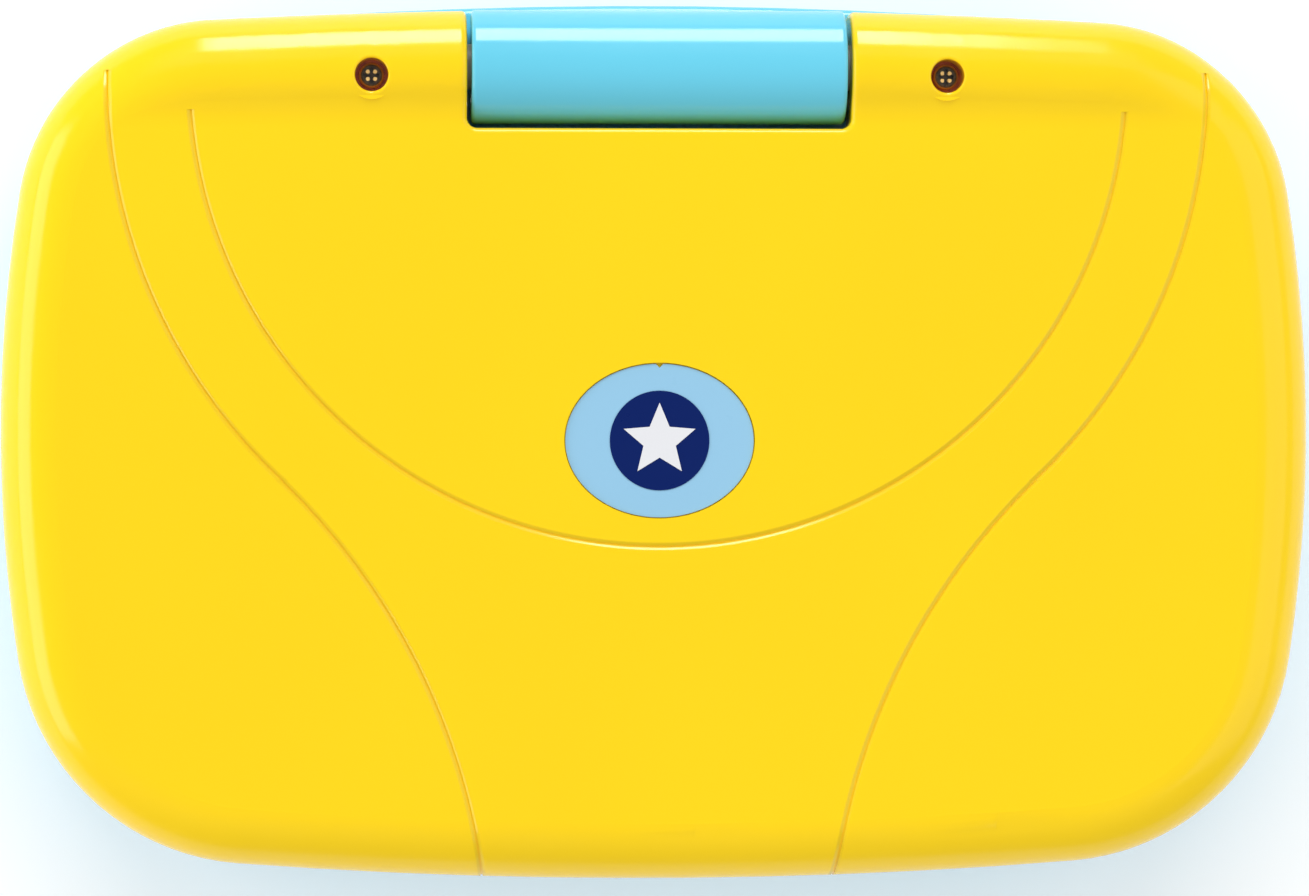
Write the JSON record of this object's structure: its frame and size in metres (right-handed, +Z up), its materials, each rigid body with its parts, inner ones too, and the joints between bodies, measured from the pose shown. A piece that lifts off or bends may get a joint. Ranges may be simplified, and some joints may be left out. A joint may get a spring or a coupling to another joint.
{
  "type": "toy laptop computer",
  "caption": "Clamshell toy laptop with a rounded glossy lid, a barrel hinge, picture keys, a roller, a speaker and a battery bay.",
  "frame": {"origin": "middle of the closed case's footprint, on the surface that it stands on", "axes": "+X across the width to the right, +Y from the front edge to the hinge, +Z up"},
  "size_m": [0.23, 0.154, 0.0464],
  "materials": {
    "lid_yellow": "gloss moulded plastic",
    "case_blue": "gloss moulded plastic",
    "badge_blue": "gloss film label",
    "badge_navy": "gloss printed ink",
    "badge_white": "gloss printed ink",
    "clear_window": "clear moulded plastic",
    "picture": "printed film",
    "white_diffuser": "milky plastic",
    "circuit_board": "lacquered board",
    "led": "moulded lens",
    "steel": "plated steel",
    "bush_plastic": "natural acetal",
    "rubber_dark": "matt rubber",
    "cable_grey": "wire sleeve",
    "deck_yellow": "satin moulded plastic",
    "deck_print": "printed label",
    "chip_black": "moulded epoxy",
    "membrane": "silicone rubber",
    "speaker_metal": "plated steel",
    "speaker_paper": "pressed paper",
    "white_plastic": "gloss moulded plastic",
    "lens_red": "translucent plastic",
    "cell_jacket": "printed jacket",
    "key_red": "gloss moulded plastic",
    "key_orange": "gloss moulded plastic",
    "key_green": "gloss moulded plastic",
    "key_blue": "gloss moulded plastic",
    "key_pink": "gloss moulded plastic",
    "roller_purple": "gloss moulded plastic",
    "slider_orange": "gloss moulded plastic"
  },
  "bodies": {
    "base": {"base_bottom_case": "case_blue", "base_top_case": "case_blue", "deck_panel": "deck_yellow", "deck_label": "deck_print", "main_board": "circuit_board", "board_components": "chip_black", "board_screws": "steel", "key_membrane": "membrane", "power_switch": "chip_black", "speaker_frame": "speaker_metal", "speaker_cone": "speaker_paper", "speaker_clamp": "white_plastic", "speaker_screws": "steel", "roller_axle": "steel", "star_light_lens": "lens_red", "light_board": "circuit_board", "star_led": "led", "battery_cells": "cell_jacket", "contact_springs": "steel", "contact_plates": "steel", "base_case_screws": "steel", "rubber_feet": "rubber_dark", "base_cable": "cable_grey"},
    "lid": {"lid_outer_shell": "lid_yellow", "lid_inner_bezel": "case_blue", "screen_window": "clear_window", "picture_panel": "picture", "light_diffuser": "white_diffuser", "screen_board": "circuit_board", "screen_leds": "led", "screen_board_screws": "steel", "badge_label": "badge_blue", "badge_disc": "badge_navy", "badge_star": "badge_white", "lid_screws": "steel", "hinge_bush_right": "bush_plastic", "hinge_bush_left": "bush_plastic", "lid_bumpers": "rubber_dark", "lid_cable": "cable_grey"},
    "count_key_1": {"count_key_1": "key_red"},
    "count_key_2": {"count_key_2": "key_orange"},
    "count_key_3": {"count_key_3": "key_green"},
    "count_key_4": {"count_key_4": "key_blue"},
    "count_key_5": {"count_key_5": "key_pink"},
    "circle_key": {"circle_key": "key_red"},
    "square_key": {"square_key": "key_orange"},
    "triangle_key": {"triangle_key": "key_green"},
    "star_key": {"star_key": "key_blue"},
    "heart_key": {"heart_key": "key_pink"},
    "piano_key_1": {"piano_key_1": "white_plastic"},
    "piano_key_2": {"piano_key_2": "white_plastic"},
    "piano_key_3": {"piano_key_3": "white_plastic"},
    "piano_key_4": {"piano_key_4": "white_plastic"},
    "piano_key_5": {"piano_key_5": "white_plastic"},
    "power_slider": {"power_slider": "slider_orange"},
    "roller": {"roller_drum": "roller_purple"},
    "battery_door": {"battery_door": "case_blue", "battery_door_screws": "steel"}
  },
  "joints": [
    {"name": "lid_hinge", "type": "hinge", "parent": "base", "child": "lid", "pos_m": [0, 0.0655, 0.0364], "axis": [-1, 0, 0], "range_deg": [0, 110]},
    {"name": "count_key_1_press", "type": "slide", "parent": "base", "child": "count_key_1", "axis": [0, 0, -1], "range_m": [0, 0.0015], "stiffness_N_per_m": 400, "springref_m": -0.001},
    {"name": "count_key_2_press", "type": "slide", "parent": "base", "child": "count_key_2", "axis": [0, 0, -1], "range_m": [0, 0.0015], "stiffness_N_per_m": 400, "springref_m": -0.001},
    {"name": "count_key_3_press", "type": "slide", "parent": "base", "child": "count_key_3", "axis": [0, 0, -1], "range_m": [0, 0.0015], "stiffness_N_per_m": 400, "springref_m": -0.001},
    {"name": "count_key_4_press", "type": "slide", "parent": "base", "child": "count_key_4", "axis": [0, 0, -1], "range_m": [0, 0.0015], "stiffness_N_per_m": 400, "springref_m": -0.001},
    {"name": "count_key_5_press", "type": "slide", "parent": "base", "child": "count_key_5", "axis": [0, 0, -1], "range_m": [0, 0.0015], "stiffness_N_per_m": 400, "springref_m": -0.001},
    {"name": "circle_key_press", "type": "slide", "parent": "base", "child": "circle_key", "axis": [0, 0, -1], "range_m": [0, 0.0015], "stiffness_N_per_m": 400, "springref_m": -0.001},
    {"name": "square_key_press", "type": "slide", "parent": "base", "child": "square_key", "axis": [0, 0, -1], "range_m": [0, 0.0015], "stiffness_N_per_m": 400, "springref_m": -0.001},
    {"name": "triangle_key_press", "type": "slide", "parent": "base", "child": "triangle_key", "axis": [0, 0, -1], "range_m": [0, 0.0015], "stiffness_N_per_m": 400, "springref_m": -0.001},
    {"name": "star_key_press", "type": "slide", "parent": "base", "child": "star_key", "axis": [0, 0, -1], "range_m": [0, 0.0015], "stiffness_N_per_m": 400, "springref_m": -0.001},
    {"name": "heart_key_press", "type": "slide", "parent": "base", "child": "heart_key", "axis": [0, 0, -1], "range_m": [0, 0.0015], "stiffness_N_per_m": 400, "springref_m": -0.001},
    {"name": "piano_key_1_press", "type": "slide", "parent": "base", "child": "piano_key_1", "axis": [0, 0, -1], "range_m": [0, 0.0015], "stiffness_N_per_m": 400, "springref_m": -0.001},
    {"name": "piano_key_2_press", "type": "slide", "parent": "base", "child": "piano_key_2", "axis": [0, 0, -1], "range_m": [0, 0.0015], "stiffness_N_per_m": 400, "springref_m": -0.001},
    {"name": "piano_key_3_press", "type": "slide", "parent": "base", "child": "piano_key_3", "axis": [0, 0, -1], "range_m": [0, 0.0015], "stiffness_N_per_m": 400, "springref_m": -0.001},
    {"name": "piano_key_4_press", "type": "slide", "parent": "base", "child": "piano_key_4", "axis": [0, 0, -1], "range_m": [0, 0.0015], "stiffness_N_per_m": 400, "springref_m": -0.001},
    {"name": "piano_key_5_press", "type": "slide", "parent": "base", "child": "piano_key_5", "axis": [0, 0, -1], "range_m": [0, 0.0015], "stiffness_N_per_m": 400, "springref_m": -0.001},
    {"name": "power_slide", "type": "slide", "parent": "base", "child": "power_slider", "axis": [0, 1, 0], "range_m": [0, 0.008]},
    {"name": "roller_spin", "type": "hinge", "parent": "base", "child": "roller", "pos_m": [0.084, -0.025, 0.017], "axis": [1, 0, 0], "continuous": true},
    {"name": "battery_door_lift", "type": "slide", "parent": "base", "child": "battery_door", "axis": [0, 0, -1], "range_m": [0, 0.03]}
  ]
}
